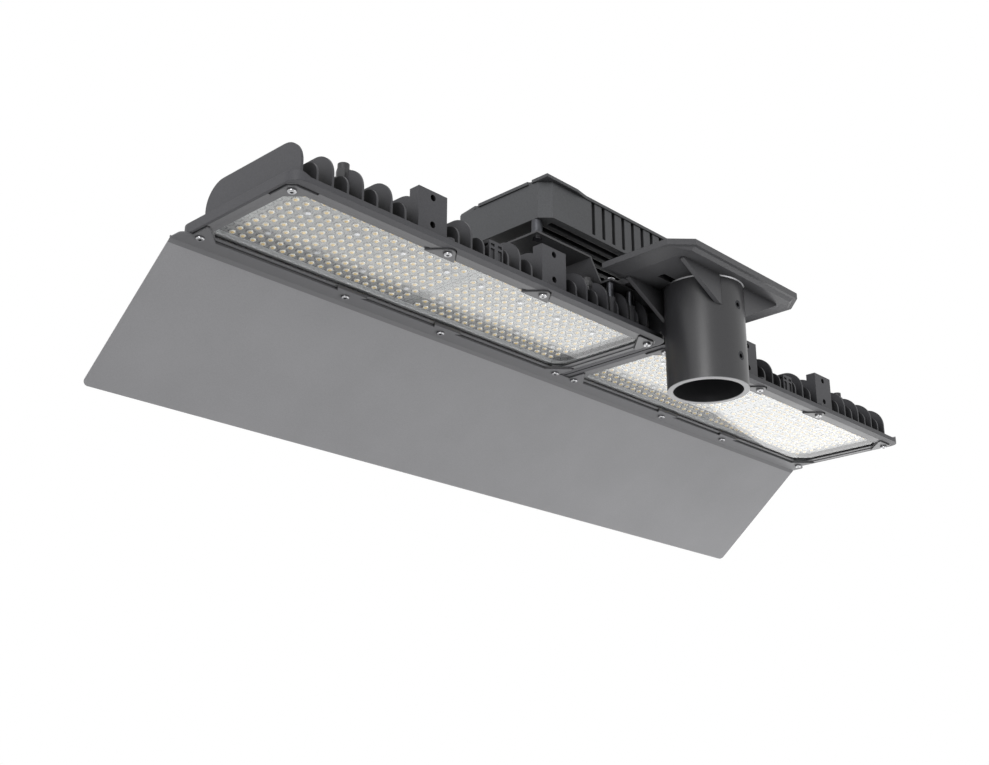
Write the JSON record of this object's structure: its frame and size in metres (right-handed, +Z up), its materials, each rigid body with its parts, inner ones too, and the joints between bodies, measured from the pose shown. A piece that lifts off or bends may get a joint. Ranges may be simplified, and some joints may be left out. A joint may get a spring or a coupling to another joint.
{
  "type": "sports flood light",
  "caption": "Pole-top LED flood light: finned modules with glass windows, folded glare visor, round pole socket with set screws and a driver box on brackets.",
  "frame": {"origin": "centre of the pole socket's mouth, on its bore axis", "axes": "+X along the light's length, +Y from the pole towards the modules and the visor, +Z up along the pole"},
  "size_m": [0.867, 0.3373, 0.2128],
  "materials": {
    "painted_steel": "anthracite powder coat, fine texture",
    "painted_driver_casting": "anthracite powder coat on die cast metal",
    "painted_heat_sink": "anthracite powder coat on die cast metal",
    "painted_bezel": "grey powder coat, satin",
    "painted_visor": "grey powder coat, satin",
    "weld_bead": "bright bead",
    "zinc_steel": "zinc plated",
    "stainless_steel": "polished",
    "black_rubber": "matt",
    "led_board": "white solder mask",
    "clear_lens": "clear moulded plastic",
    "clear_glass": "clear toughened glass",
    "black_nylon": "moulded",
    "circuit_board": "green solder mask",
    "transformer_core": "varnished",
    "capacitor_sleeve": "shrink sleeve",
    "terminal_block": "moulded"
  },
  "bodies": {
    "light": {"socket_tube": "painted_steel", "socket_weld": "weld_bead", "socket_gussets": "painted_steel", "socket_tray": "painted_steel", "cable_grommet": "black_rubber", "hub_plate": "painted_steel", "tray_bolts": "stainless_steel", "hub_studs": "stainless_steel", "stud_nuts": "stainless_steel", "foot_screws": "stainless_steel", "stud_spacers": "zinc_steel", "heat_sink_left": "painted_heat_sink", "heat_sink_right": "painted_heat_sink", "led_board_1": "led_board", "led_board_2": "led_board", "led_board_3": "led_board", "led_board_4": "led_board", "lens_plate_1": "clear_lens", "lens_plate_2": "clear_lens", "lens_plate_3": "clear_lens", "lens_plate_4": "clear_lens", "lens_screws_left": "stainless_steel", "lens_screws_right": "stainless_steel", "glass_gasket_left": "black_rubber", "glass_gasket_right": "black_rubber", "glass_left": "clear_glass", "glass_right": "clear_glass", "bezel_left": "painted_bezel", "bezel_right": "painted_bezel", "bezel_screws_left": "stainless_steel", "bezel_screws_right": "stainless_steel", "vent_plugs": "black_nylon", "module_glands": "black_nylon", "visor": "painted_visor", "bracket_left": "painted_steel", "bracket_right": "painted_steel", "driver_spacers": "zinc_steel", "driver_bolts": "stainless_steel", "driver_housing": "painted_driver_casting", "driver_board": "circuit_board", "driver_transformers": "transformer_core", "driver_capacitors": "capacitor_sleeve", "terminal_block": "terminal_block", "driver_gasket": "black_rubber", "driver_lid": "painted_driver_casting", "driver_lid_screws": "stainless_steel", "mains_gland": "black_nylon", "output_glands": "black_nylon"},
    "set_screw_upper": {"set_screw_upper": "stainless_steel"},
    "set_screw_lower": {"set_screw_lower": "stainless_steel"},
    "mains_nut": {"mains_nut": "black_nylon"},
    "output_nut_near": {"output_nut_near": "black_nylon"},
    "output_nut_far": {"output_nut_far": "black_nylon"},
    "module_nut_left": {"module_nut_left": "black_nylon"},
    "module_nut_right": {"module_nut_right": "black_nylon"}
  },
  "joints": [
    {"name": "set_screw_upper_travel", "type": "slide", "parent": "light", "child": "set_screw_upper", "axis": [0, 1, 0], "range_m": [-0.002, 0.002]},
    {"name": "set_screw_lower_travel", "type": "slide", "parent": "light", "child": "set_screw_lower", "axis": [0, 1, 0], "range_m": [-0.002, 0.002]},
    {"name": "mains_nut_turn", "type": "hinge", "parent": "light", "child": "mains_nut", "pos_m": [0.1514, 0.1087, 0.155], "axis": [1, 0, 0], "continuous": true},
    {"name": "output_nut_near_turn", "type": "hinge", "parent": "light", "child": "output_nut_near", "pos_m": [0.1514, 0.0807, 0.155], "axis": [1, 0, 0], "continuous": true},
    {"name": "output_nut_far_turn", "type": "hinge", "parent": "light", "child": "output_nut_far", "pos_m": [0.1514, 0.1367, 0.155], "axis": [1, 0, 0], "continuous": true},
    {"name": "module_nut_left_turn", "type": "hinge", "parent": "light", "child": "module_nut_left", "pos_m": [-0.07442, 0.0727, 0.096], "axis": [0, 0, 1], "continuous": true},
    {"name": "module_nut_right_turn", "type": "hinge", "parent": "light", "child": "module_nut_right", "pos_m": [0.07442, 0.0727, 0.096], "axis": [0, 0, 1], "continuous": true}
  ]
}
